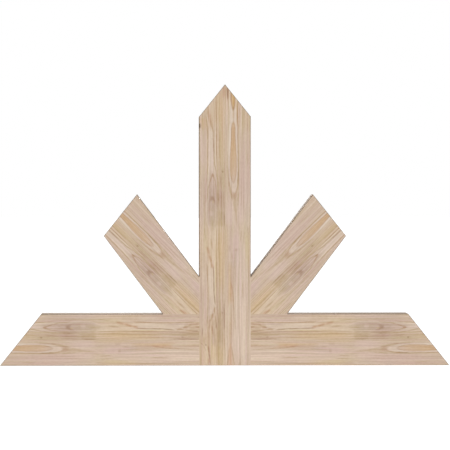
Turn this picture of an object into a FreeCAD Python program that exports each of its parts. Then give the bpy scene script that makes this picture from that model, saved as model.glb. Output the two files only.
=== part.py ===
"""Decorative gable truss: a pointed king post, two beams that butt against it and two raking struts.

Every timber is glued up from two staves. The glue line runs along the middle of the post and of each
beam, and slants across each strut, whose grain lies flatter than its edges. The timbers are flush
front and back, and blind dowels hold each butt joint. Millimetres, +Z up, front face towards -Y,
origin at the middle of the underside.
"""

import FreeCAD, Part
import math
import os
from FreeCAD import Vector

INCH = 25.4

# Driving dimensions
SPAN = 48 * INCH                # tip to tip along the underside
PITCH = 15 / 12                 # roof rise over run
FACE = 5.5 * INCH               # width of every timber, seen from the front
DEPTH = 3.5 * INCH              # thickness of every timber, front to back
STRUT_SLOPE = math.radians(52.95)   # slope of a strut above the beam
STRUT_SEAT = 98.9               # length of a strut's foot along the beam's top
STRUT_GRAIN_SLOPE = math.radians(45)    # slope of a strut's grain and glue line
STRUT_SEAM_RISE = 26.5          # height above the beam at which a strut's glue line meets the post
EASED_EDGE = 1.6                # radius of the rounded arrises
DOWEL_DIAMETER = 0.75 * INCH
DOWEL_LENGTH = 2.5 * INCH
DOWEL_CHAMFER = 1.5
GLUE_SPACE = 2.0                # how much deeper a hole is than the dowel end in it
STRUT_POST_DOWEL_RISE = 76.0    # height of a strut's level dowel above the beam
STRUT_BEAM_DOWEL_RUN = 70.0     # distance of a strut's upright dowel from the post

# Derived dimensions
HALF_SPAN = SPAN / 2
RIDGE = HALF_SPAN * PITCH
HALF_FACE = FACE / 2
STAVE = FACE / 2
OVERRUN = FACE                  # how far a cutting shape reaches past what it cuts
HOLE_DEPTH = DOWEL_LENGTH / 2 + GLUE_SPACE

# Directions in the plane of the truss, for its left half
UP_THE_RAKE = Vector(1, 0, PITCH).normalize()
INTO_THE_RAKE = Vector(UP_THE_RAKE.z, 0, -UP_THE_RAKE.x)
DOWN_THE_STRUT = Vector(math.cos(STRUT_SLOPE), 0, -math.sin(STRUT_SLOPE))
STRUT_INWARD = Vector(math.sin(STRUT_SLOPE), 0, math.cos(STRUT_SLOPE))   # from lower edge to upper
DOWN_THE_GRAIN = Vector(math.cos(STRUT_GRAIN_SLOPE), 0, -math.sin(STRUT_GRAIN_SLOPE))
ACROSS_THE_GRAIN = Vector(math.sin(STRUT_GRAIN_SLOPE), 0, math.cos(STRUT_GRAIN_SLOPE))
LEVEL = Vector(1, 0, 0)
UPRIGHT = Vector(0, 0, 1)


def point(x, z):
    """A point in the plane midway between the front and the back."""
    return Vector(x, 0, z)


def meet(start, direction, other_start, other_direction):
    """The point where two lines in the plane of the truss cross."""
    gap = other_start - start
    area = direction.x * other_direction.z - direction.z * other_direction.x
    along = (gap.x * other_direction.z - gap.z * other_direction.x) / area
    return start + direction * along


# Corners of the left half
eave = point(-HALF_SPAN, 0)
ridge = point(0, RIDGE)
shoulder = meet(eave, UP_THE_RAKE, point(-HALF_FACE, 0), UPRIGHT)
beam_top_end = meet(eave, UP_THE_RAKE, point(0, FACE), LEVEL)
corner = point(-HALF_FACE, FACE)                        # post side meets beam top
strut_toe = point(-HALF_FACE - STRUT_SEAT, FACE)        # strut's lower edge on the beam
strut_low_end = meet(eave, UP_THE_RAKE, strut_toe, DOWN_THE_STRUT)
strut_seam_foot = corner + UPRIGHT * STRUT_SEAM_RISE     # glue line meets the post
strut_high_foot = meet(strut_toe + STRUT_INWARD * FACE, DOWN_THE_STRUT, corner, UPRIGHT)
strut_high_end = meet(eave, UP_THE_RAKE, strut_high_foot, DOWN_THE_STRUT)


def prism(outline, depth=DEPTH):
    """The solid between the front and back planes with this outline."""
    front = Vector(0, -depth / 2, 0)
    corners = [p + front for p in outline]
    face = Part.Face(Part.makePolygon(corners + corners[:1]))
    return face.extrude(Vector(0, depth, 0))


def stave(timber_outline, seam_point, along, side):
    """The part of a timber that lies on one side of its glue line."""
    reach = along * SPAN
    near_edge = [seam_point - reach, seam_point + reach]
    far_edge = [p + side * SPAN for p in reversed(near_edge)]
    return prism(timber_outline).common(prism(near_edge + far_edge, 2 * DEPTH))


def arris_cutters(start, end, inward):
    """What a rounding cutter takes off the front and back arrises from start to end."""
    cutters = []
    waste = EASED_EDGE
    middle = EASED_EDGE * (1 - math.sqrt(0.5))
    for y, into in ((-DEPTH / 2, Vector(0, 1, 0)), (DEPTH / 2, Vector(0, -1, 0))):
        origin = start + Vector(0, y, 0)
        side_edge = origin + into * EASED_EDGE
        face_edge = origin + inward * EASED_EDGE
        arc = Part.Arc(face_edge, origin + (inward + into) * middle, side_edge).toShape()
        outer = [
            side_edge,
            side_edge - inward * waste,
            origin - (inward + into) * waste,
            face_edge - into * waste,
            face_edge,
        ]
        section = Part.Face(Part.Wire([arc] + Part.makePolygon(outer).Edges))
        cutters.append(section.extrude(end - start))
    return cutters


def eased(solid, runs):
    """The solid with its exposed arrises rounded. Each run is (start, end, inward)."""
    for start, end, inward in runs:
        for cutter in arris_cutters(start, end, inward):
            solid = solid.cut(cutter)
    return solid


def beyond(start, end):
    """The end of a run that goes on past a free corner."""
    return end + (end - start).normalize() * OVERRUN


def through_run(start, end, inward):
    """An arris that is free at both ends."""
    return beyond(end, start), beyond(start, end), inward


def stopped_run(start, stop, inward):
    """An arris that is free at its start and ends against another timber."""
    return beyond(stop, start), stop, inward


def dowel(middle, axis):
    """A round dowel with chamfered ends."""
    pin = Part.makeCylinder(DOWEL_DIAMETER / 2, DOWEL_LENGTH, middle - axis * (DOWEL_LENGTH / 2), axis)
    rims = [e for e in pin.Edges if isinstance(e.Curve, Part.Circle)]
    return pin.makeChamfer(DOWEL_CHAMFER, rims)


def drilled(solid, places):
    """The solid with a blind hole for every dowel that enters it."""
    for middle, axis in places:
        hole = Part.makeCylinder(DOWEL_DIAMETER / 2, 2 * HOLE_DEPTH, middle - axis * HOLE_DEPTH, axis)
        solid = solid.cut(hole)
    return solid


# Dowels of the left half, as (middle, axis): one in each stave's butt joint, midway front to back
beam_dowels = [(point(-HALF_FACE, height), LEVEL) for height in (STAVE / 2, STAVE * 3 / 2)]
strut_post_dowel = [(corner + UPRIGHT * STRUT_POST_DOWEL_RISE, LEVEL)]
strut_beam_dowel = [(corner - LEVEL * STRUT_BEAM_DOWEL_RUN, UPRIGHT)]


def post_stave():
    """The left stave of the king post, with half of its point."""
    solid = prism([point(-HALF_FACE, 0), point(0, 0), ridge, shoulder])
    solid = eased(solid, [
        stopped_run(shoulder, strut_high_foot, LEVEL),
        through_run(shoulder, ridge, INTO_THE_RAKE),
        through_run(point(-HALF_FACE, 0), point(0, 0), UPRIGHT),
    ])
    return drilled(solid, beam_dowels + strut_post_dowel)


def beam_staves():
    """The upper and lower staves of the left beam."""
    outline = [eave, point(-HALF_FACE, 0), corner, beam_top_end]
    seam_point = point(-HALF_FACE, STAVE)
    rake_run = through_run(eave, beam_top_end, INTO_THE_RAKE)
    upper = eased(stave(outline, seam_point, LEVEL, UPRIGHT), [
        stopped_run(beam_top_end, strut_toe, -UPRIGHT),
        rake_run,
    ])
    lower = eased(stave(outline, seam_point, LEVEL, -UPRIGHT), [
        through_run(eave, point(-HALF_FACE, 0), UPRIGHT),
        rake_run,
    ])
    return drilled(upper, beam_dowels + strut_beam_dowel), drilled(lower, beam_dowels)


def strut_staves():
    """The upper and lower staves of the left strut, with the foot cut to the corner of post and beam."""
    outline = [strut_toe, corner, strut_high_foot, strut_high_end, strut_low_end]
    rake_run = through_run(strut_low_end, strut_high_end, INTO_THE_RAKE)
    upper = eased(stave(outline, strut_seam_foot, DOWN_THE_GRAIN, ACROSS_THE_GRAIN), [
        stopped_run(strut_high_end, strut_high_foot, -STRUT_INWARD),
        rake_run,
    ])
    lower = eased(stave(outline, strut_seam_foot, DOWN_THE_GRAIN, -ACROSS_THE_GRAIN), [
        stopped_run(strut_low_end, strut_toe, STRUT_INWARD),
        rake_run,
    ])
    return drilled(upper, strut_post_dowel), drilled(lower, strut_beam_dowel)


def dowel_group(places):
    """The dowels of one joint, as separate solids."""
    return Part.makeCompound([dowel(middle, axis) for middle, axis in places])


def left_half():
    """Every piece left of the middle, by name without its side."""
    beam_upper, beam_lower = beam_staves()
    strut_upper, strut_lower = strut_staves()
    return {
        "king_post_{side}_stave": post_stave(),
        "{side}_beam_upper_stave": beam_upper,
        "{side}_beam_lower_stave": beam_lower,
        "{side}_strut_upper_stave": strut_upper,
        "{side}_strut_lower_stave": strut_lower,
        "{side}_beam_dowels": dowel_group(beam_dowels),
        "{side}_strut_post_dowel": dowel_group(strut_post_dowel),
        "{side}_strut_beam_dowel": dowel_group(strut_beam_dowel),
    }


def main():
    os.makedirs("parts", exist_ok=True)
    for name, shape in left_half().items():
        mirrored = shape.mirror(Vector(0, 0, 0), LEVEL)
        shape.exportStep(os.path.join("parts", name.format(side="left") + ".step"))
        mirrored.exportStep(os.path.join("parts", name.format(side="right") + ".step"))


main()
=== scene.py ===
"""Looks of the decorative gable truss: planed fir staves in soft studio light, from the photograph's view.

The frame's staves keep their shapes. The figure on their faces is placed one mark at a time, for two kinds
of stave.
Growth rings show on the cut ends and run on along the tops and sides.
"""

import math
from collections import namedtuple

import bpy
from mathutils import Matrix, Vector


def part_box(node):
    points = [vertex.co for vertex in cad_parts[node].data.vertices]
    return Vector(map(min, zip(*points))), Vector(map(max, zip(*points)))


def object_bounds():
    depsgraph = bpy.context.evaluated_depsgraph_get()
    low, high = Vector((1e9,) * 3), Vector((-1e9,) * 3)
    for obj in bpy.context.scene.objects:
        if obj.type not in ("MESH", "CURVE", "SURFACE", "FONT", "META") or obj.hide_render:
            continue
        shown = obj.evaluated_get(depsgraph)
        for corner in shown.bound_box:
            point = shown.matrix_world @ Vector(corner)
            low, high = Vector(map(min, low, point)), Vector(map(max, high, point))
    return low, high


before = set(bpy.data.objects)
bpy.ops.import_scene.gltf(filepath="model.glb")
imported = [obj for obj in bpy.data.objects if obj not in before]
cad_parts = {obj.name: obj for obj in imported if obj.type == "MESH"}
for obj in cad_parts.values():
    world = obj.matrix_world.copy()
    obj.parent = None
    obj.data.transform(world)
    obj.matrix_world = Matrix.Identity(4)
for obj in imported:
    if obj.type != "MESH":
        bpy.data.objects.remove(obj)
cad_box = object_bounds()

MM = 0.001
LOW, HIGH = cad_box
SPAN = HIGH.x - LOW.x
DEPTH = HIGH.y - LOW.y
FRONT = LOW.y
CENTRE = (LOW + HIGH) / 2


class Signal:
    """A number that varies over a surface, with arithmetic that adds shader nodes."""

    def __init__(self, socket):
        self.socket = socket
        self.tree = socket.id_data

    def __add__(self, other):
        return calculate(self.tree, "ADD", self, other)

    def __sub__(self, other):
        return calculate(self.tree, "SUBTRACT", self, other)

    def __rsub__(self, other):
        return calculate(self.tree, "SUBTRACT", other, self)

    def __mul__(self, other):
        return calculate(self.tree, "MULTIPLY", self, other)

    def __truediv__(self, other):
        return calculate(self.tree, "DIVIDE", self, other)

    def __neg__(self):
        return self * -1

    __radd__ = __add__
    __rmul__ = __mul__


def feed(tree, socket, value):
    """Gives a node's input a constant or another node's output."""
    if isinstance(value, Signal):
        tree.links.new(value.socket, socket)
    elif isinstance(value, bpy.types.NodeSocket):
        tree.links.new(value, socket)
    else:
        socket.default_value = value


def calculate(tree, operation, *values):
    """One Math node."""
    node = tree.nodes.new("ShaderNodeMath")
    node.operation = operation
    for socket, value in zip(node.inputs, values):
        feed(tree, socket, value)
    return Signal(node.outputs[0])


def square(x):
    return x * x


def root(x):
    return calculate(x.tree, "SQRT", x)


def magnitude(x):
    return calculate(x.tree, "ABSOLUTE", x)


def bell(x):
    """1 where x is 0, and 0 where it is far from it."""
    return calculate(x.tree, "EXPONENT", -x)


def between(first, second, share):
    """A number between two others."""
    return first + (second - first) * share


def ramp_up(x, start, end):
    """0 below start, 1 above end, and smooth between them."""
    node = x.tree.nodes.new("ShaderNodeMapRange")
    node.interpolation_type = "SMOOTHSTEP"
    for name, value in (("Value", x), ("From Min", start), ("From Max", end)):
        feed(x.tree, node.inputs[name], value)
    return Signal(node.outputs["Result"])


NOISE_MIDDLE = 0.5              # what a noise node gives on average


def noise(x, y, z, detail, roughness):
    """Smooth noise at a point, about 0."""
    tree = x.tree
    point = tree.nodes.new("ShaderNodeCombineXYZ")
    for socket, value in zip(point.inputs, (x, y, z)):
        feed(tree, socket, value)
    node = tree.nodes.new("ShaderNodeTexNoise")
    node.inputs["Scale"].default_value = 1.0
    node.inputs["Detail"].default_value = detail
    node.inputs["Roughness"].default_value = roughness
    tree.links.new(point.outputs[0], node.inputs["Vector"])
    return Signal(node.outputs["Fac"]) - NOISE_MIDDLE


def profile(x, points, x_max, y_max):
    """A smooth curve through a few points."""
    node = x.tree.nodes.new("ShaderNodeFloatCurve")
    curve = node.mapping.curves[0]
    while len(curve.points) < len(points):
        curve.points.new(0, 0)
    for handle, (px, py) in zip(curve.points, points):
        handle.location = (px / x_max, py / y_max)
        handle.handle_type = "AUTO_CLAMPED"
    node.mapping.update()
    feed(x.tree, node.inputs["Value"], x / x_max)
    return Signal(node.outputs["Value"]) * y_max


def linear(colour):
    """A shader colour from an sRGB one of 0 to 255."""
    channels = [c / 255 for c in colour]
    return [c / 12.92 if c <= 0.04045 else ((c + 0.055) / 1.055) ** 2.4 for c in channels] + [1.0]


def bands(x, stops, x_max):
    """The colour at x, blended between a few stops."""
    node = x.tree.nodes.new("ShaderNodeValToRGB")
    node.color_ramp.interpolation = "EASE"
    elements = node.color_ramp.elements
    while len(elements) < len(stops):
        elements.new(1.0)
    for element, (stop, colour) in zip(elements, stops):
        element.position = stop / x_max
        element.color = linear(colour)
    feed(x.tree, node.inputs["Fac"], x / x_max)
    return node.outputs["Color"]


def blend(tree, factor, first, second, mode="MIX"):
    """A colour between two colours."""
    node = tree.nodes.new("ShaderNodeMix")
    node.data_type = "RGBA"
    node.blend_type = mode
    feed(tree, node.inputs["Factor"], factor)
    for name, colour in (("A", first), ("B", second)):
        socket = next(s for s in node.inputs if s.name == name and s.type == "RGBA")
        feed(tree, socket, colour)
    return next(s for s in node.outputs if s.type == "RGBA")


def shift(tree, colour, amount, direction):
    """A colour moved along a direction by an amount."""
    node = tree.nodes.new("ShaderNodeVectorMath")
    node.operation = "MULTIPLY_ADD"
    for socket, value in zip(node.inputs, (amount, direction, colour)):
        feed(tree, socket, value)
    return node.outputs["Vector"]


def new_group(name, inputs, outputs):
    """An empty node group, with its inputs as signals and its output node."""
    tree = bpy.data.node_groups.new(name, "ShaderNodeTree")
    for label in inputs:
        tree.interface.new_socket(label, in_out="INPUT", socket_type="NodeSocketFloat")
    for label, kind in outputs.items():
        tree.interface.new_socket(label, in_out="OUTPUT", socket_type=kind)
    entry = tree.nodes.new("NodeGroupInput")
    return tree, [Signal(entry.outputs[label]) for label in inputs], tree.nodes.new("NodeGroupOutput")


def use_group(tree, group, **values):
    """Adds a group to a tree and feeds its inputs."""
    node = tree.nodes.new("ShaderNodeGroup")
    node.node_tree = group
    for label, value in values.items():
        feed(tree, node.inputs[label], value)
    return node


# Colours of the wood, and of the painted shade for its arrises, in sRGB
CREAM = (217, 198, 178)
YELLOW_CREAM = (214, 195, 160)
PINK_CREAM = (219, 199, 185)
PALE_PINK = (215, 196, 180)
ROSE_CREAM = (214, 183, 157)
PALE_TAN = (210, 189, 166)
PALE_ROSE = (207, 187, 168)
HALO = (214, 197, 179)
TAN = (202, 180, 158)
WARM_TAN = (206, 182, 153)
GOLD_TAN = (207, 180, 143)
GREY_TAN = (198, 178, 162)
ROSE_TAN = (199, 175, 158)
PINK = (209, 185, 173)
PINK_TAN = (202, 179, 163)
HEART = (201, 171, 138)
HONEY = (203, 169, 138)
GOLD = (201, 167, 119)
TAWNY = (196, 168, 140)
OLIVE = (199, 175, 140)
OLIVE_BROWN = (184, 160, 130)
DULL_ROSE = (186, 163, 146)
ROSE_BROWN = (183, 155, 135)
RUSSET = (188, 152, 124)
RIM = (181, 150, 119)
BROWN = (176, 145, 115)
UMBER = (156, 124, 97)
DARK_KNOT = (84, 66, 48)
# Painted shade: the colour that darkens the rounded arrises, standing in for the shade along the edges
ARRIS_PAINTED_SHADE_COLOUR = (165, 160, 155)

# The wood's own coordinates, in mm: u across the grain from the glue line, v along it from the head of the
# first board, w inwards from the front face
MM_DEPTH = DEPTH / MM           # thickness of a stave
END_JOINT = 386.0               # v at which the second board of a stave begins
JOINT_FADE = 6.0                # half the stretch in which one board gives way to the other
STAVE_REACH = 780.0             # v at which the curves along a stave end, just past the post's foot
RING_GROWTH = 244.0             # how fast the ring distance grows below the face
MARK_DEPTH = 10.0               # how far a mark reaches in from the face
RING_REACH = 30.0               # largest ring distance with a listed colour
RING_FADE_START = 15.0          # ring distances between which random rings take over
RING_FADE_END = 24.0

# Rise of the ring surface over the face, in square mm, along each stave. A low stretch between two high
# ones shows as a closed eye, and a slope shows as nested arches. The drift is how far the middle of the
# rings moves sideways, in mm
DRIFT_MAX = 4.0
EYE_AXIS = 22.4                 # u of the rings' middle
EYE_RISE_MAX = 450.0
EYE_RISE = [
    (0, 30), (32, 45), (52, 57), (62, 70), (71, 85), (81, 93), (96, 93), (102, 87), (106, 76), (110, 64),
    (120, 54), (152, 46), (180, 29), (206, 0), (228, 2), (237, 7), (244, 17), (251, 35), (271, 94),
    (287, 141), (305, 204), (320, 270), (340, 330), (384, 420), (STAVE_REACH, EYE_RISE_MAX),
]
EYE_DRIFT = [
    (0, 0), (235, 0), (270, 0.8), (295, 2.2), (345, DRIFT_MAX), (372, DRIFT_MAX), (400, 0), (STAVE_REACH, 0),
]
EYE_RINGS = [
    (0.0, HEART), (7.6, HEART), (8.8, RIM), (10.0, HALO), (12.4, HALO), (13.6, TAN), (14.7, RIM),
    (16.0, TAN), (18.0, PALE_TAN), (20.5, TAN), (22.5, GREY_TAN), (25.0, TAN), (RING_REACH, TAN),
]
KNOT_AXIS = -33.9
KNOT_RISE_MAX = 260.0
KNOT_RISE = [
    (0, 248), (76, 240), (125, 236), (180, 232), (225, 205), (251, 161), (287, 60), (320, 20), (350, 40),
    (384, 150), (400, 235), (455, 240), (560, 232), (STAVE_REACH, 236),
]
KNOT_DRIFT = [(0, 0), (STAVE_REACH, 0)]
KNOT_RINGS = [
    (0.0, PALE_ROSE), (16.0, PALE_ROSE), (17.4, CREAM), (18.5, TAN), (19.6, TAWNY), (20.8, TAN),
    (23.0, PALE_TAN), (26.0, GREY_TAN), (RING_REACH, TAN),
]

# A mark on the face of a stave: its middle, half its width and length, its lean and bend, the colour that
# it gives the wood, and how much of it
Mark = namedtuple("Mark", "u v width length lean bend colour strength")


def tint(u, v, half_width, half_length, colour, strength):
    """A soft patch of another colour."""
    return Mark(u, v, half_width, half_length, 0.0, 0.0, colour, strength)


def streak(head, foot, half_width, colour, strength):
    """A straight line of darker or paler wood."""
    (u0, v0), (u1, v1) = head, foot
    lean = (u1 - u0) / (v1 - v0)
    return Mark((u0 + u1) / 2, (v0 + v1) / 2, half_width, (v1 - v0) / 2, lean, 0.0, colour, strength)


def line(points, half_width, colour, strength):
    """A line of darker or paler wood through a few points."""
    return [streak(head, foot, half_width, colour, strength) for head, foot in zip(points, points[1:])]


def arch(u, v, half_width, half_length, bend, colour, strength):
    """A patch bent like a growth ring, with its arms towards the foot, or the head if bend is negative."""
    return Mark(u, v, half_width, half_length, 0.0, bend, colour, strength)


KNOT_MARKS = [
    # First board, patches and a few streaks
    tint(-11, 133, 10, 105, OLIVE, 0.7),
    tint(-15, 62, 12, 42, GOLD_TAN, 0.5),
    tint(-2, 20, 6, 17, RUSSET, 0.8),
    tint(1.5, 14, 3, 9, RUSSET, 0.6),
    streak((-2.0, 38), (-1.5, 115), 1.6, TAWNY, 0.5),
    streak((-1.5, 215), (-1.5, 340), 3.0, OLIVE_BROWN, 0.5),
    tint(-35, 80, 14, 40, OLIVE, 0.5),
    tint(-60, 106, 13, 16, HEART, 0.6),
    tint(-60, 179, 12, 45, PINK, 0.5),
    tint(-40, 145, 6, 22, CREAM, 0.4),
    tint(-39, 200, 6, 34, PINK_CREAM, 0.5),
    tint(-61, 310, 13, 58, ROSE_TAN, 0.6),
    tint(-36, 300, 16, 52, ROSE_TAN, 0.7),
    tint(-36, 305, 40, 62, DULL_ROSE, 0.3),
    tint(-35, 310, 11, 28, DULL_ROSE, 0.75),
    tint(-36, 356, 10, 27, DULL_ROSE, 0.65),
    tint(-35, 380, 7, 15, OLIVE_BROWN, 0.5),
    tint(-39, 352, 4, 24, OLIVE_BROWN, 0.4),
    tint(-11, 256, 9, 38, OLIVE_BROWN, 0.75),
    tint(-12, 236, 3.5, 14, PALE_TAN, 0.4),
    tint(-11, 312, 12, 25, ROSE_BROWN, 1.0),
    tint(-11, 318, 10, 20, OLIVE_BROWN, 0.35),
    tint(-11, 360, 12, 26, OLIVE_BROWN, 1.0),
    tint(-4, 345, 5, 30, ROSE_BROWN, 0.5),
    tint(-11, 377, 11, 9, OLIVE_BROWN, 0.6),
    # First board, dark knot at the edge, flame and lines
    tint(-68.8, 112, 2.8, 6.4, DARK_KNOT, 0.95),
    streak((-43.5, 72), (-35.0, 118), 4.4, RUSSET, 0.6),
    streak((-39.8, 96), (-34.8, 120), 2.4, BROWN, 0.7),
    streak((-48.5, 84), (-43.8, 118), 1.6, CREAM, 0.8),
    *line([(-52.0, 84), (-48.0, 118), (-46.8, 150), (-46.8, 211)], 1.4, BROWN, 0.7),
    *line([(-35.0, 114), (-31.0, 133), (-29.8, 192), (-28.0, 222)], 1.4, BROWN, 0.8),
    streak((-30.3, 152), (-29.6, 190), 1.3, UMBER, 0.7),
    streak((-28.0, 115), (-26.7, 205), 1.6, CREAM, 0.6),
    *line([(-24.0, 38), (-23.3, 110), (-22.6, 208)], 1.4, BROWN, 0.75),
    tint(-30, 132, 2.5, 14, OLIVE_BROWN, 0.5),
    tint(-54.5, 358, 2.0, 30, PALE_TAN, 0.6),
    streak((-19.5, 40), (-19.2, 200), 1.3, PALE_TAN, 0.4),
    streak((-16.0, 33), (-15.6, 110), 1.3, BROWN, 0.55),
    streak((-14.8, 125), (-14.8, 206), 1.4, BROWN, 0.45),
    streak((-8.1, 43), (-6.8, 179), 2.6, HONEY, 0.25),
    tint(-6.0, 237, 2.3, 2.8, UMBER, 0.7),
    # First board, lines and arches around the knot
    *line([(-46.6, 211), (-47.0, 228), (-49.6, 250), (-51.9, 275), (-53.1, 322)], 1.3, BROWN, 0.5),
    *line([(-28.5, 215), (-23.4, 240), (-20.2, 258), (-18.6, 283), (-18.0, 318)], 1.4, BROWN, 0.65),
    arch(-33.4, 246, 4.5, 5.0, 0.3, BROWN, 0.85),
    *line([(-36.0, 250), (-42.4, 268), (-47.0, 287), (-49.5, 318)], 1.4, BROWN, 0.6),
    *line([(-31.0, 250), (-27.2, 263), (-23.0, 287), (-21.4, 312)], 1.4, BROWN, 0.6),
    tint(-35.5, 310, 5.5, 8, UMBER, 0.35),
    arch(-34.5, 309, 6.0, 5.0, 0.12, UMBER, 0.45),
    tint(-31.5, 319, 2.6, 4.0, OLIVE, 0.5),
    streak((-29.0, 312), (-26.0, 326), 1.7, UMBER, 0.5),
    streak((-18.4, 298), (-18.2, 339), 1.3, UMBER, 0.6),
    streak((-16.2, 316), (-16.0, 340), 1.1, PALE_TAN, 0.6),
    tint(-37, 350, 5, 7, PINK, 0.5),
    streak((-44.0, 328), (-42.0, 352), 2.0, ROSE_BROWN, 0.4),
    streak((-1.6, 350), (-1.6, 387), 1.5, UMBER, 0.8),
    # Second board, patches and a few streaks
    tint(-42, 445, 28, 55, WARM_TAN, 0.6),
    tint(-12, 470, 14, 85, GOLD_TAN, 0.65),
    tint(-46, 705, 26, 64, TAWNY, 0.45),
    tint(-40, 545, 5, 45, CREAM, 0.6),
    tint(-40, 610, 5, 22, GREY_TAN, 0.5),
    tint(-60, 600, 13, 70, ROSE_TAN, 0.5),
    tint(-63, 595, 8, 48, ROSE_BROWN, 0.3),
    tint(-35, 560, 8, 60, PALE_TAN, 0.5),
    tint(-33, 664, 12, 38, TAWNY, 0.6),
    tint(-11, 662, 10, 46, OLIVE_BROWN, 0.75),
    tint(-60, 720, 13, 36, WARM_TAN, 0.4),
    tint(-49, 688, 3.5, 16, BROWN, 0.4),
    tint(-56, 694, 6, 10, BROWN, 0.4),
    tint(-33, 715, 8, 38, OLIVE, 0.75),
    streak((-26.5, 676), (-25.8, 742), 1.8, BROWN, 0.7),
    streak((-2.4, 680), (-2.2, 720), 1.8, RUSSET, 0.6),
    tint(-20.8, 412, 2.2, 26, PALE_TAN, 0.8),
    tint(-32, 692, 5, 14, DULL_ROSE, 0.45),
    tint(-51, 635, 2.5, 26, BROWN, 0.35),
    tint(-29, 656, 5, 22, OLIVE_BROWN, 0.5),
    streak((-21.5, 580), (-20.0, 655), 1.6, PALE_TAN, 0.5),
    tint(-57, 480, 5, 24, ROSE_BROWN, 0.35),
    tint(-39, 596, 6, 22, ROSE_TAN, 0.6),
    tint(-14, 738, 11, 30, OLIVE, 0.7),
    tint(-30, 735, 5, 28, YELLOW_CREAM, 0.5),
    # Second board, lines above the arch
    streak((-56.0, 390), (-52.0, 425), 1.4, OLIVE_BROWN, 0.5),
    streak((-38.5, 418), (-34.0, 446), 2.3, BROWN, 0.5),
    *line([(-48.0, 440), (-42.8, 462), (-36.6, 484), (-32.8, 499)], 3.3, RUSSET, 0.95),
    streak((-52.0, 455), (-47.5, 490), 2.0, PALE_PINK, 0.5),
    *line([(-48.3, 492), (-46.6, 540), (-46.2, 600)], 1.4, BROWN, 0.8),
    streak((-50.2, 500), (-49.8, 598), 1.4, CREAM, 0.7),
    *line([(-46.2, 600), (-46.2, 620), (-49.0, 655)], 1.6, UMBER, 0.5),
    *line([(-31.6, 496), (-30.2, 530), (-29.6, 565), (-26.3, 597)], 1.9, UMBER, 0.75),
    streak((-25.7, 390), (-26.2, 440), 2.0, CREAM, 0.6),
    streak((-25.8, 470), (-25.2, 585), 1.4, YELLOW_CREAM, 0.85),
    streak((-22.3, 388), (-22.0, 440), 1.0, BROWN, 0.5),
    *line([(-23.0, 445), (-22.8, 560), (-20.8, 605), (-17.5, 655)], 1.0, UMBER, 0.45),
    streak((-18.6, 455), (-18.4, 590), 1.1, CREAM, 0.6),
    streak((-15.4, 390), (-15.2, 595), 1.0, BROWN, 0.5),
    streak((-6.5, 470), (-6.8, 622), 1.1, BROWN, 0.5),
    streak((-13.0, 585), (-12.5, 628), 2.2, OLIVE_BROWN, 0.6),
    tint(-7.3, 619, 2.4, 3.0, UMBER, 0.4),
    streak((-2.6, 592), (-2.2, 664), 2.2, UMBER, 0.6),
    # Second board, arch and what is below it
    *line([(-27.5, 604), (-31.0, 619), (-36.0, 630), (-40.5, 643)], 2.5, BROWN, 0.85),
    tint(-34.5, 628, 5, 5.5, BROWN, 0.75),
    tint(-31, 645, 3, 8, OLIVE_BROWN, 0.6),
    streak((-39.0, 638), (-41.5, 660), 2.4, BROWN, 0.55),
    *line([(-30.0, 598), (-27.0, 625), (-23.0, 661)], 1.3, BROWN, 0.8),
    tint(-24, 653, 1.6, 8, UMBER, 0.5),
    streak((-36.5, 652), (-31.0, 682), 2.6, BROWN, 0.8),
    streak((-61.5, 658), (-61.0, 683), 1.4, UMBER, 0.6),
    streak((-47.0, 658), (-46.0, 686), 2.0, BROWN, 0.4),
    tint(-52, 706, 2.6, 3.0, UMBER, 0.6),
    *line([(-66.0, 700), (-57.0, 709), (-50.0, 724)], 1.8, BROWN, 0.5),
    *line([(-46.5, 708), (-42.5, 728), (-38.8, 762)], 2.1, BROWN, 0.9),
    streak((-50.0, 716), (-44.0, 744), 2.2, CREAM, 0.6),
    streak((-21.5, 700), (-21.0, 745), 1.2, BROWN, 0.4),
]

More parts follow.
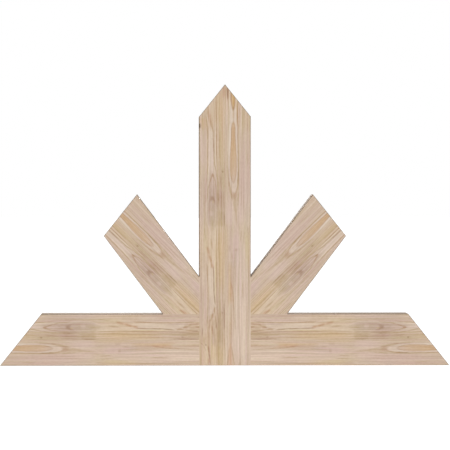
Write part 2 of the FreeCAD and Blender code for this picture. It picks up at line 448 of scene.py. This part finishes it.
EYE_MARKS = [
    # First board, patches and a few streaks
    tint(5, 24, 9, 22, RUSSET, 0.5),
    arch(22.4, 42, 3.8, 19, -0.8, GOLD, 0.8),
    tint(30.5, 56, 2.6, 14, GOLD, 0.4),
    tint(35, 84, 6, 30, HONEY, 0.35),
    tint(22.4, 83, 4, 9, TAWNY, 0.5),
    tint(3.6, 56, 2.6, 26, ROSE_CREAM, 0.7),
    tint(23.5, 108, 5, 6.5, WARM_TAN, 0.6),
    tint(23, 257, 6, 13, DULL_ROSE, 0.35),
    tint(58, 324, 5, 34, OLIVE_BROWN, 0.5),
    tint(23.5, 195, 6.5, 45, HONEY, 0.25),
    *line([(9.8, 112), (9.6, 235), (12.0, 266)], 2.4, HALO, 0.65),
    streak((1.5, 120), (1.5, 300), 1.6, TAWNY, 0.5),
    tint(53, 230, 16, 95, PINK_TAN, 0.7),
    tint(57, 92, 16, 32, OLIVE, 0.35),
    tint(61, 325, 9, 62, GREY_TAN, 0.6),
    tint(43, 338, 11, 40, PINK, 0.65),
    tint(13, 350, 12, 38, PINK, 0.75),
    tint(35, 270, 42, 75, ROSE_TAN, 0.45),
    tint(22.4, 280, 11, 16, TAN, 0.45),
    # First board, lines at the tip and down the outer edge
    streak((6.6, 8), (7.2, 40), 2.2, UMBER, 0.95),
    streak((4.3, 24), (4.6, 115), 1.5, PINK_CREAM, 0.7),
    streak((13.5, 22), (16.8, 56), 1.6, RUSSET, 0.7),
    *line([(11.6, 19), (11.9, 65), (12.5, 110)], 1.7, CREAM, 0.7),
    streak((33.8, 46), (34.2, 112), 1.4, RIM, 0.85),
    streak((37.0, 52), (37.4, 104), 1.3, PINK_CREAM, 0.8),
    streak((39.3, 55), (39.8, 105), 1.3, BROWN, 0.5),
    streak((42.8, 65), (43.3, 135), 1.3, CREAM, 0.75),
    streak((61.0, 103), (61.2, 127), 1.3, BROWN, 0.4),
    streak((60.7, 184), (61.2, 217), 1.4, OLIVE_BROWN, 0.6),
    # First board, outline and tail of the eye
    *line([(34.6, 130), (35.6, 168), (35.8, 255)], 1.3, BROWN, 0.6),
    streak((39.0, 205), (38.2, 290), 1.6, PINK_TAN, 0.6),
    streak((35.8, 233), (34.8, 265), 1.2, UMBER, 0.5),
    *line([(36.0, 256), (35.0, 274), (31.5, 289), (27.5, 298)], 1.7, BROWN, 0.7),
    *line([(36.2, 296), (34.5, 318), (31.5, 346)], 1.6, OLIVE_BROWN, 0.6),
    *line(
        [(8.0, 228), (9.5, 262), (11.5, 280), (16.5, 299), (22.5, 317), (28.0, 346)], 2.0, OLIVE_BROWN, 0.7
    ),
    tint(25.5, 303, 6.5, 8, BROWN, 0.6),
    arch(24.8, 299, 5.5, 7, -0.25, BROWN, 0.5),
    tint(27.5, 319, 5.0, 13, OLIVE_BROWN, 0.75),
    streak((28.0, 326), (31.2, 378), 3.2, OLIVE_BROWN, 0.75),
    # Second board, patches and a few streaks
    tint(44, 650, 30, 120, PALE_PINK, 0.6),
    tint(44, 585, 26, 170, PINK_CREAM, 0.3),
    tint(34, 608, 8, 24, PINK_CREAM, 0.35),
    tint(27, 445, 20, 40, PINK, 0.8),
    tint(12, 420, 7, 45, ROSE_TAN, 0.6),
    tint(33, 468, 6, 22, GREY_TAN, 0.5),
    tint(61, 610, 7, 70, GREY_TAN, 0.4),
    tint(4, 430, 6, 50, OLIVE, 0.55),
    tint(62, 450, 9, 45, YELLOW_CREAM, 0.4),
    tint(23, 485, 8, 12, GREY_TAN, 0.5),
    tint(32, 530, 8, 50, PINK, 0.45),
    arch(13.0, 516, 5.0, 36, 0.25, TAWNY, 0.75),
    streak((13.0, 488), (12.0, 560), 2.2, TAWNY, 0.5),
    arch(14.5, 562, 7.0, 28, 0.3, HONEY, 0.75),
    tint(17, 650, 7, 45, HEART, 0.2),
    tint(52, 625, 14, 62, PALE_TAN, 0.6),
    tint(56, 748, 14, 18, GREY_TAN, 0.5),
    tint(5.5, 680, 5, 70, PALE_TAN, 0.6),
    tint(13, 665, 4, 28, TAWNY, 0.45),
    tint(40, 735, 2.5, 16, PINK_CREAM, 0.7),
    tint(51.5, 710, 3, 22, TAN, 0.6),
    tint(52, 556, 9, 26, TAN, 0.5),
    arch(14.0, 738, 6.0, 40, 0.6, HONEY, 0.7),
    tint(12.5, 444, 3, 8, ROSE_BROWN, 0.45),
    tint(19, 466, 3, 8, ROSE_BROWN, 0.4),
    tint(31.5, 448, 5, 4, ROSE_BROWN, 0.4),
    # Second board, lines
    streak((30.5, 548), (33.6, 690), 2.6, PINK_CREAM, 0.75),
    *line([(17.0, 540), (22.0, 575), (25.0, 620), (28.0, 665)], 1.4, BROWN, 0.4),
    streak((10.5, 552), (9.5, 600), 1.3, BROWN, 0.35),
    streak((34.4, 530), (36.4, 672), 1.4, ROSE_BROWN, 0.55),
    streak((50.5, 400), (48.2, 505), 2.0, PINK, 0.6),
    streak((40.5, 560), (40.8, 670), 1.3, CREAM, 0.4),
    streak((19.0, 715), (25.5, 764), 1.5, BROWN, 0.7),
    streak((11.5, 715), (7.0, 764), 1.5, BROWN, 0.6),
    streak((4.6, 690), (4.3, 764), 2.0, CREAM, 0.8),
    streak((36.6, 683), (36.2, 730), 1.5, PINK_CREAM, 0.9),
    streak((43.8, 395), (42.0, 425), 1.3, BROWN, 0.55),
    streak((51.5, 396), (51.3, 432), 1.2, BROWN, 0.6),
    streak((57.0, 410), (57.5, 465), 1.2, OLIVE, 0.4),
    streak((46.0, 430), (45.0, 520), 1.3, ROSE_BROWN, 0.5),
    streak((48.8, 536), (48.8, 578), 1.2, BROWN, 0.5),
]


def mark_group():
    """How strongly one mark shows at a point of the wood."""
    inputs = ["U", "V", "Mark U", "Mark V", "Width", "Length", "Lean", "Bend"]
    tree, (u, v, mark_u, mark_v, width, length, lean, bend), exit_node = new_group(
        "grain_mark", inputs, {"Mask": "NodeSocketFloat"}
    )
    du = u - mark_u
    dv = v - mark_v
    across = (du - lean * dv) / width
    along = (dv - bend * square(du)) / length
    feed(tree, exit_node.inputs["Mask"], bell(square(across) + square(square(along))))
    return tree


# Random grain: changes per mm across and along it, strength, and the noise node's detail and roughness
Grain = namedtuple("Grain", "across along strength detail roughness")
WANDER = Grain(0.03, 0.016, 2.0, 2.0, 0.5)          # how far the grain strays, in mm
FINE_WANDER = Grain(0.15, 0.07, 1.2, 1.0, 0.5)
RING_LINES = Grain(0.16, 0.0022, 0.30, 3.0, 0.6)    # the rest change the colour
FINE_LINES = Grain(0.42, 0.005, 0.38, 2.0, 0.6)
FIBRE = Grain(0.9, 0.03, 0.12, 4.0, 0.65)
MOTTLE = Grain(0.3, 0.11, 0.10, 2.0, 0.5)
HUE = Grain(0.2, 0.006, 1.0, 2.0, 0.5)
HUE_DIRECTION = (0.05, -0.03, 0.09)     # from olive to pink
GREY_DIRECTION = (1.0, 1.0, 1.0)
RAGGED_JOINT = Grain(0.22, 0.0, 26.0, 2.0, 0.5)     # how far the end joint strays along the grain, in mm
SLANT = 2.2                             # how fast the straight lines of the second board move with depth
PLANED_ROUGHNESS = 0.78
FIBRE_ROUGHNESS = 0.2                   # how much the fibre changes the roughness
RING_RELIEF = 0.4                       # shares of the ring lines and the fibre in the relief
FIBRE_RELIEF = 0.6


def grain_noise(grain, u, v, w):
    """Random grain at a point, without its strength."""
    return noise(u * grain.across, v * grain.along, w * grain.across, grain.detail, grain.roughness)


# Growth rings on the cut ends, tops and sides, in mm
PITH_DEPTH = 170.0              # how far the pith lies behind the front face
RING_WIDTH = 7.0
RING_UNEVENNESS = Grain(0.05, 0.0, 14.0, 1.0, 0.5)      # how far a ring strays from its place, in mm
EARLYWOOD = (206, 181, 152)
LATEWOOD = (170, 133, 101)
LATEWOOD_START = 0.25           # where in a ring the wood begins to darken, and where it is darkest
LATEWOOD_PEAK = 0.88


def growth_rings(tree, u, w, stray, axis):
    """The colour of growth rings round a pith behind the stave, as a cut across them shows it."""
    radius = root(square(u - axis) + square(PITH_DEPTH - w)) + stray
    radius = radius + grain_noise(RING_UNEVENNESS, radius, 0.0, axis) * RING_UNEVENNESS.strength
    phase = calculate(tree, "FRACT", radius / RING_WIDTH)
    latewood = ramp_up(phase, LATEWOOD_START, LATEWOOD_PEAK) - ramp_up(phase, LATEWOOD_PEAK, 1.0)
    return blend(tree, latewood, linear(EARLYWOOD), linear(LATEWOOD))


def wood_group(name, axis, drift, rise, rise_max, rings, marks, mark_tree):
    """One kind of stave at a point in it: face colour, growth ring colour, roughness and relief."""
    tree, (u, v, w), exit_node = new_group(
        name,
        ["U", "V", "W"],
        {
            "Color": "NodeSocketColor", "Ring Color": "NodeSocketColor",
            "Roughness": "NodeSocketFloat", "Height": "NodeSocketFloat",
        },
    )
    below_face = w * (1 - w / MM_DEPTH)
    stray = grain_noise(WANDER, u, v, w) * WANDER.strength
    stray = stray + grain_noise(FINE_WANDER, u, v, w) * FINE_WANDER.strength
    grain_u = u + stray
    grain_v = v + stray

    middle = profile(v, drift, STAVE_REACH, DRIFT_MAX) + axis
    out_of_ring = square(grain_u - middle) + profile(v, rise, STAVE_REACH, rise_max)
    ring = root(out_of_ring + below_face * (below_face + RING_GROWTH))
    outside = ramp_up(ring, RING_FADE_START, RING_FADE_END)
    colour = blend(tree, outside, bands(ring, rings, RING_REACH), linear(TAN))

    near_face = bell(square(below_face / MARK_DEPTH))
    for mark in marks:
        mask = use_group(
            tree, mark_tree, **{
                "U": grain_u, "V": grain_v, "Mark U": mark.u, "Mark V": mark.v, "Width": mark.width,
                "Length": mark.length, "Lean": mark.lean, "Bend": mark.bend,
            }
        )
        strength = Signal(mask.outputs["Mask"]) * near_face * mark.strength
        colour = blend(tree, strength, colour, linear(mark.colour))

    joint_v = v + grain_noise(RAGGED_JOINT, u, v, w) * RAGGED_JOINT.strength
    second_board = ramp_up(joint_v, END_JOINT - JOINT_FADE, END_JOINT + JOINT_FADE)
    curved_lines = grain_noise(RING_LINES, ring, v, 0.0)
    straight_lines = grain_noise(RING_LINES, grain_u + below_face * SLANT, v, END_JOINT)
    ring_lines = between(curved_lines * outside, straight_lines, second_board)
    fine_lines = grain_noise(FINE_LINES, grain_u, v, w)
    fibre = grain_noise(FIBRE, u, v, w)
    mottle = grain_noise(MOTTLE, u, v, w)
    tone = (
        ring_lines * RING_LINES.strength + fine_lines * FINE_LINES.strength
        + fibre * FIBRE.strength + mottle * MOTTLE.strength
    )
    colour = shift(tree, colour, tone, GREY_DIRECTION)
    colour = shift(tree, colour, grain_noise(HUE, grain_u, v, w) * HUE.strength, HUE_DIRECTION)
    ring_colour = shift(tree, growth_rings(tree, u, w, stray, axis), fibre * FIBRE.strength, GREY_DIRECTION)
    feed(tree, exit_node.inputs["Color"], colour)
    feed(tree, exit_node.inputs["Ring Color"], ring_colour)
    feed(tree, exit_node.inputs["Roughness"], PLANED_ROUGHNESS + fibre * FIBRE_ROUGHNESS)
    feed(tree, exit_node.inputs["Height"], ring_lines * RING_RELIEF + fibre * FIBRE_RELIEF)
    return tree


# How the wood lies on a timber: the directions across and along its grain, and a point of the glue line on
# the front face, with its v
Lay = namedtuple("Lay", "across along origin start")

GLUE_LINE_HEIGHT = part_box("left_beam_upper_stave")[0].z
STRUT_SEAM_LOW, STRUT_SEAM_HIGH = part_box("left_strut_upper_stave")
DIAGONAL = math.sqrt(0.5)       # the grain of a strut lies at 45 degrees
RIGHT = Vector((1, 0, 0))
BACK = Vector((0, 1, 0))
DOWN = Vector((0, 0, -1))
POST_START = 0.0                # v at the ridge
BEAM_START = 124.6              # v at a beam's tip
STRUT_START = 466.5             # v where a strut's glue line meets the post
LAYS = {
    "king_post": Lay(RIGHT, DOWN, Vector((0, FRONT, HIGH.z)), POST_START),
    "beam": Lay(DOWN, RIGHT, Vector((LOW.x, FRONT, GLUE_LINE_HEIGHT)), BEAM_START),
    "strut": Lay(
        (RIGHT - DOWN) * DIAGONAL, (RIGHT + DOWN) * DIAGONAL,
        Vector((STRUT_SEAM_HIGH.x, FRONT, STRUT_SEAM_LOW.z)), STRUT_START,
    ),
}


def mirrored(vector):
    """The same vector on the other half of the truss."""
    return Vector((-vector.x, vector.y, vector.z))


def along_axis(tree, position, axis, origin, scale):
    """Distance along an axis from an origin."""
    node = tree.nodes.new("ShaderNodeVectorMath")
    node.operation = "DOT_PRODUCT"
    tree.links.new(position, node.inputs[0])
    node.inputs[1].default_value = axis * scale
    return Signal(node.outputs["Value"]) - origin.dot(axis) * scale


def new_material(name):
    """A material, with its node tree and its shader."""
    material = bpy.data.materials.new(name)
    material.use_nodes = True
    return material, material.node_tree, material.node_tree.nodes["Principled BSDF"]


SIDE_RINGS = 0.55               # share of the growth rings on tops and sides, which is 1 on cut ends
ARRIS_PAINTED_SHADE_AMOUNT = 0.85          # how strongly the painted shade darkens the rounded arrises
WOOD_SPECULAR = 0.015
RELIEF_STRENGTH = 0.25
RELIEF_DEPTH = 0.4 * MM

# Where one kind of surface gives way to another, by how squarely it faces the front or the end of the
# grain: 0 is edge on and 1 is square on
SIDE_TO_ARRIS = (0.05, 0.3)
ARRIS_TO_FACE = (0.93, 0.995)
SIDE_TO_END = (0.3, 0.6)


def wood_material(name, lay, wood):
    """Planed wood for one stave."""
    material, tree, shader = new_material(name)
    position = tree.nodes.new("ShaderNodeTexCoord").outputs["Object"]
    u = along_axis(tree, position, lay.across, lay.origin, 1 / MM)
    v = along_axis(tree, position, lay.along, lay.origin, 1 / MM) + lay.start
    w = along_axis(tree, position, BACK, lay.origin, 1 / MM)
    grain = use_group(tree, wood, U=u, V=v, W=w)

    normal = tree.nodes.new("ShaderNodeNewGeometry").outputs["True Normal"]
    facing_end = magnitude(along_axis(tree, normal, lay.along, Vector(), 1.0))
    facing_front = magnitude(along_axis(tree, normal, BACK, Vector(), 1.0))
    off_the_side = ramp_up(facing_front, *SIDE_TO_ARRIS)
    rings = between(SIDE_RINGS, 1.0, ramp_up(facing_end, *SIDE_TO_END)) * (1 - off_the_side)
    colour = blend(tree, rings, grain.outputs["Color"], grain.outputs["Ring Color"])
    # Painted shade: the rounded arrises are darkened in the colour, standing in for the shade along the
    # edges
    painted_edge_shade = off_the_side * (1 - ramp_up(facing_front, *ARRIS_TO_FACE))
    colour = blend(tree, painted_edge_shade * ARRIS_PAINTED_SHADE_AMOUNT, colour, linear(ARRIS_PAINTED_SHADE_COLOUR), "MULTIPLY")
    tree.links.new(colour, shader.inputs["Base Color"])
    tree.links.new(grain.outputs["Roughness"], shader.inputs["Roughness"])
    shader.inputs["Specular IOR Level"].default_value = WOOD_SPECULAR

    bump = tree.nodes.new("ShaderNodeBump")
    bump.inputs["Strength"].default_value = RELIEF_STRENGTH
    bump.inputs["Distance"].default_value = RELIEF_DEPTH
    tree.links.new(grain.outputs["Height"], bump.inputs["Height"])
    tree.links.new(bump.outputs["Normal"], shader.inputs["Normal"])
    return material


PALE_BIRCH = (222, 196, 150)
DARK_BIRCH = (198, 164, 116)
BIRCH_ROUGHNESS = 0.6
FLECKS = Grain(1.5, 0.3, 0.2, 3.0, 0.5)     # their strength changes the roughness
FLECK_CONTRAST = 0.2            # noise at which the birch is darkest, and minus that where it is palest


def dowel_material():
    """Pale turned hardwood."""
    material, tree, shader = new_material("dowel_birch")
    position = tree.nodes.new("ShaderNodeTexCoord").outputs["Object"]
    x, y, z = (along_axis(tree, position, axis, Vector(), 1 / MM) for axis in (RIGHT, BACK, DOWN))
    flecks = noise(x * FLECKS.along, y * FLECKS.across, z * FLECKS.along, FLECKS.detail, FLECKS.roughness)
    darkness = ramp_up(flecks, -FLECK_CONTRAST, FLECK_CONTRAST)
    colour = blend(tree, darkness, linear(PALE_BIRCH), linear(DARK_BIRCH))
    tree.links.new(colour, shader.inputs["Base Color"])
    feed(tree, shader.inputs["Roughness"], BIRCH_ROUGHNESS + flecks * FLECKS.strength)
    return material


def dress(node, material):
    """Gives a CAD node its material."""
    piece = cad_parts[node]
    piece.data.materials.clear()
    piece.data.materials.append(material)


def dress_staves():
    """Lays the two woods on the staves of every timber."""
    mark_tree = mark_group()
    eye = wood_group(
        "eye_stave_wood", EYE_AXIS, EYE_DRIFT, EYE_RISE, EYE_RISE_MAX, EYE_RINGS, EYE_MARKS, mark_tree
    )
    knot = wood_group(
        "knot_stave_wood", KNOT_AXIS, KNOT_DRIFT, KNOT_RISE, KNOT_RISE_MAX, KNOT_RINGS, KNOT_MARKS,
        mark_tree,
    )
    for node, wood in (("king_post_left_stave", knot), ("king_post_right_stave", eye)):
        dress(node, wood_material(node, LAYS["king_post"], wood))
    staves = {
        "beam": {"upper_stave": knot, "lower_stave": eye},
        "strut": {"lower_stave": knot, "upper_stave": eye},
    }
    for timber, woods in staves.items():
        lay = LAYS[timber]
        opposite = Lay(mirrored(lay.across), mirrored(lay.along), mirrored(lay.origin), lay.start)
        for side, side_lay in (("left", lay), ("right", opposite)):
            for stave, wood in woods.items():
                node = f"{side}_{timber}_{stave}"
                dress(node, wood_material(node, side_lay, wood))


def dress_dowels():
    """Gives every dowel the same birch."""
    birch = dowel_material()
    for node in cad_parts:
        if "dowel" in node:
            dress(node, birch)


# Studio, with lengths in metres
WHITE = (1, 1, 1, 1)
WHITE_STRENGTH = 1.0            # strength at which the background shows as white
HORIZON_LIGHT = 1.05            # light from all round, at the level of the object
ZENITH_LIGHT = 0.32             # light from above
KEY_SHARE = 0.48                # light on the front face from the key lamp
KEY_AZIMUTH = math.radians(2)
BACK_SHARE = 0.48               # light on the back face from the lamp behind
BACK_AZIMUTH = math.radians(180)
LAMP_SPREAD = math.radians(5)   # angle that a lamp fills, seen from the object
LAMP_ELEVATION = math.radians(3)
LAMP_DISTANCE = 4.0
FLOOR_SIZE = 60.0
FLOOR_GREY = 0.92
FLOOR_LIFT = 0.75               # what the camera sees added to the floor, so that it is white unless shaded


def seen_directly(tree):
    """1 for what the camera sees, also through glass or in a mirror, and 0 for light that bounces."""
    path = tree.nodes.new("ShaderNodeLightPath")
    rays = [Signal(path.outputs[f"Is {kind} Ray"]) for kind in ("Camera", "Glossy", "Transmission")]
    return calculate(tree, "MINIMUM", rays[0] + rays[1] + rays[2], 1.0)


def make_world():
    """Soft light, most of it from the level of the object, and a white background."""
    world = bpy.data.worlds.new("studio")
    bpy.context.scene.world = world
    world.use_nodes = True
    tree = world.node_tree
    background = tree.nodes["Background"]
    background.inputs["Color"].default_value = WHITE
    ray = tree.nodes.new("ShaderNodeTexCoord").outputs["Generated"]
    glow = square(1 - along_axis(tree, ray, -DOWN, Vector(), 1.0))
    light = ZENITH_LIGHT + glow * (HORIZON_LIGHT - ZENITH_LIGHT)
    feed(tree, background.inputs["Strength"], between(light, WHITE_STRENGTH, seen_directly(tree)))


def make_floor():
    """A pale floor that shows as white, apart from the object's shadow."""
    mesh = bpy.data.meshes.new("floor")
    half = FLOOR_SIZE / 2
    corners = [(-half, -half, 0), (half, -half, 0), (half, half, 0), (-half, half, 0)]
    mesh.from_pydata(corners, [], [(0, 1, 2, 3)])
    floor = bpy.data.objects.new("floor", mesh)
    bpy.context.scene.collection.objects.link(floor)
    material, tree, shader = new_material("floor")
    shader.inputs["Base Color"].default_value = (FLOOR_GREY, FLOOR_GREY, FLOOR_GREY, 1)
    shader.inputs["Roughness"].default_value = 1.0
    shader.inputs["Specular IOR Level"].default_value = 0.0
    shader.inputs["Emission Color"].default_value = WHITE
    feed(tree, shader.inputs["Emission Strength"], seen_directly(tree) * FLOOR_LIFT)
    mesh.materials.append(material)


def direction(azimuth, elevation):
    """The direction from the object towards a viewer."""
    level = math.cos(elevation)
    return Vector((math.sin(azimuth) * level, -math.cos(azimuth) * level, math.sin(elevation)))


def place(name, data, target, towards_viewer, distance):
    """Puts a lamp or camera at a distance from its target, looking at it."""
    thing = bpy.data.objects.new(name, data)
    bpy.context.scene.collection.objects.link(thing)
    thing.location = target + towards_viewer * distance
    thing.rotation_euler = (-towards_viewer).to_track_quat("-Z", "Y").to_euler()
    return thing


def make_lamp(name, share, azimuth):
    """A soft lamp, even over the whole object and a little above it."""
    data = bpy.data.lights.new(name, "SUN")
    data.angle = LAMP_SPREAD
    data.energy = math.pi * share   # a sun of strength pi lights a white face to 1
    place(name, data, CENTRE, direction(azimuth, LAMP_ELEVATION), LAMP_DISTANCE)


# Camera, from the photograph
CAMERA_DISTANCE = 8.0           # from the front face
CAMERA_AZIMUTH = math.radians(-1.4)
CAMERA_ELEVATION = math.radians(0.9)


def make_camera():
    """The photograph's view, with the span across the whole width of the image."""
    data = bpy.data.cameras.new("camera")
    data.lens = data.sensor_width * CAMERA_DISTANCE / SPAN
    target = Vector((CENTRE.x, FRONT, CENTRE.z))
    towards_viewer = direction(CAMERA_AZIMUTH, CAMERA_ELEVATION)
    bpy.context.scene.camera = place("camera", data, target, towards_viewer, CAMERA_DISTANCE)


dress_staves()
dress_dowels()
make_world()
make_floor()
make_lamp("key", KEY_SHARE, KEY_AZIMUTH)
make_lamp("back", BACK_SHARE, BACK_AZIMUTH)
make_camera()
bpy.context.scene.view_settings.view_transform = "Standard"
